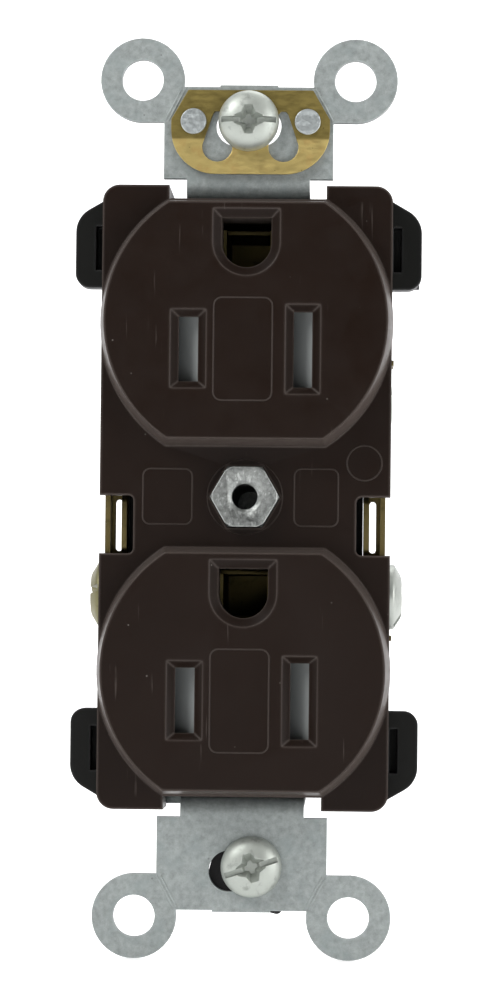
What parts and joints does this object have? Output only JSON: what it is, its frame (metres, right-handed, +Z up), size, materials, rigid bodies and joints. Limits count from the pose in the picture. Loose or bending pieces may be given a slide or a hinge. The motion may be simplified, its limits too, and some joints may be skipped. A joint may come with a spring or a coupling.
{
  "type": "duplex wall outlet",
  "caption": "Duplex wall outlet with ground-up tamper-resistant faces, a wraparound steel strap, screw terminals and mounting screws.",
  "frame": {"origin": "axis of the centre post, in the plane of the backs of the strap's ears", "axes": "+X right and +Z up as the faces are seen, with the strap along Z; the faces look along -Y and the body runs back along +Y"},
  "size_m": [0.0392, 0.0309, 0.103],
  "materials": {
    "brown_cover": "moulded nylon, satin with fine handling marks",
    "black_body": "moulded thermoplastic, matte",
    "galvanised_strap": "galvanised steel sheet, dull with a fine mottled spangle",
    "clip_brass": "thin brass sheet, lightly tarnished",
    "rivet_steel": "plated steel, hammered heads",
    "post_zinc": "zinc-plated steel, satin",
    "contact_brass": "plain brass strip, satin",
    "terminal_brass": "brass-plated steel, satin",
    "terminal_silver": "nickel-plated steel, bright",
    "ground_green": "green dyed plating, semi-gloss",
    "screw_zinc": "zinc-plated steel, bright with cast marks",
    "washer_black": "black fibre washer, matte",
    "shutter_grey": "pale grey thermoplastic, satin",
    "spring_steel": "steel spring wire"
  },
  "bodies": {
    "housing": {"cover": "brown_cover", "back_body": "black_body", "mounting_strap": "galvanised_strap", "self_ground_clip": "clip_brass", "clip_rivets": "rivet_steel", "centre_post": "post_zinc", "ground_strip": "contact_brass", "ground_strip_rivets": "rivet_steel", "hot_strip": "contact_brass", "neutral_strip": "contact_brass", "upper_shutter_spring": "spring_steel", "lower_shutter_spring": "spring_steel", "upper_shutter_tray": "shutter_grey", "lower_shutter_tray": "shutter_grey"},
    "upper_shutter": {"upper_shutter": "shutter_grey"},
    "lower_shutter": {"lower_shutter": "shutter_grey"},
    "hot_upper_plate": {"hot_upper_plate": "terminal_brass"},
    "hot_upper_screw": {"hot_upper_screw": "terminal_brass"},
    "hot_lower_plate": {"hot_lower_plate": "terminal_brass"},
    "hot_lower_screw": {"hot_lower_screw": "terminal_brass"},
    "neutral_upper_plate": {"neutral_upper_plate": "terminal_silver"},
    "neutral_upper_screw": {"neutral_upper_screw": "terminal_silver"},
    "neutral_lower_plate": {"neutral_lower_plate": "terminal_silver"},
    "neutral_lower_screw": {"neutral_lower_screw": "terminal_silver"},
    "ground_clamp": {"ground_clamp": "terminal_brass"},
    "ground_screw": {"ground_screw": "ground_green"},
    "retaining_washer": {"retaining_washer": "washer_black"},
    "upper_mounting_screw": {"upper_mounting_screw": "screw_zinc"},
    "lower_mounting_screw": {"lower_mounting_screw": "screw_zinc"}
  },
  "joints": [
    {"name": "upper_shutter_slide", "type": "slide", "parent": "housing", "child": "upper_shutter", "axis": [1, 0, 0], "range_m": [0, 0.003], "stiffness_N_per_m": 60, "springref_m": -0.002, "deforming": ["upper_shutter_spring"]},
    {"name": "lower_shutter_slide", "type": "slide", "parent": "housing", "child": "lower_shutter", "axis": [1, 0, 0], "range_m": [0, 0.003], "stiffness_N_per_m": 60, "springref_m": -0.002, "deforming": ["lower_shutter_spring"]},
    {"name": "hot_upper_plate_slide", "type": "slide", "parent": "housing", "child": "hot_upper_plate", "axis": [-1, 0, 0], "range_m": [0, 0.003]},
    {"name": "hot_upper_screw_turn", "type": "hinge", "parent": "hot_upper_plate", "child": "hot_upper_screw", "pos_m": [-0.01465, 0.008, 0.0109], "axis": [-1, 0, 0], "range_deg": [0, 1361]},
    {"name": "hot_lower_plate_slide", "type": "slide", "parent": "housing", "child": "hot_lower_plate", "axis": [-1, 0, 0], "range_m": [-0.0013, 0.0017]},
    {"name": "hot_lower_screw_turn", "type": "hinge", "parent": "hot_lower_plate", "child": "hot_lower_screw", "pos_m": [-0.01595, 0.008, -0.0109], "axis": [-1, 0, 0], "range_deg": [-590, 772]},
    {"name": "neutral_upper_plate_slide", "type": "slide", "parent": "housing", "child": "neutral_upper_plate", "axis": [1, 0, 0], "range_m": [0, 0.003]},
    {"name": "neutral_upper_screw_turn", "type": "hinge", "parent": "neutral_upper_plate", "child": "neutral_upper_screw", "pos_m": [0.01465, 0.008, 0.0109], "axis": [1, 0, 0], "range_deg": [0, 1361]},
    {"name": "neutral_lower_plate_slide", "type": "slide", "parent": "housing", "child": "neutral_lower_plate", "axis": [1, 0, 0], "range_m": [-0.0013, 0.0017]},
    {"name": "neutral_lower_screw_turn", "type": "hinge", "parent": "neutral_lower_plate", "child": "neutral_lower_screw", "pos_m": [0.01595, 0.008, -0.0109], "axis": [1, 0, 0], "range_deg": [-590, 772]},
    {"name": "ground_clamp_slide", "type": "slide", "parent": "housing", "child": "ground_clamp", "axis": [-1, 0, 0], "range_m": [0, 0.003]},
    {"name": "ground_screw_turn", "type": "hinge", "parent": "ground_clamp", "child": "ground_screw", "pos_m": [-0.0169, 0.0115, -0.0286], "axis": [-1, 0, 0], "range_deg": [0, 1361]},
    {"name": "upper_mounting_screw_turn", "type": "hinge", "parent": "housing", "child": "upper_mounting_screw", "pos_m": [0, 0, 0.04212], "axis": [0, -1, 0], "continuous": true},
    {"name": "lower_mounting_screw_shift", "type": "slide", "parent": "housing", "child": "retaining_washer", "axis": [1, 0, 0], "range_m": [-0.003, 0.0008]},
    {"name": "lower_mounting_screw_turn", "type": "hinge", "parent": "retaining_washer", "child": "lower_mounting_screw", "pos_m": [0.0011, 0, -0.04117], "axis": [0, -1, 0], "continuous": true}
  ],
  "couplings": [
    {"joint": "hot_upper_screw_turn", "follows": "hot_upper_plate_slide", "rad_per_m": 7915.8},
    {"joint": "hot_lower_screw_turn", "follows": "hot_lower_plate_slide", "rad_per_m": 7915.8},
    {"joint": "neutral_upper_screw_turn", "follows": "neutral_upper_plate_slide", "rad_per_m": 7915.8},
    {"joint": "neutral_lower_screw_turn", "follows": "neutral_lower_plate_slide", "rad_per_m": 7915.8},
    {"joint": "ground_screw_turn", "follows": "ground_clamp_slide", "rad_per_m": 7915.8}
  ]
}
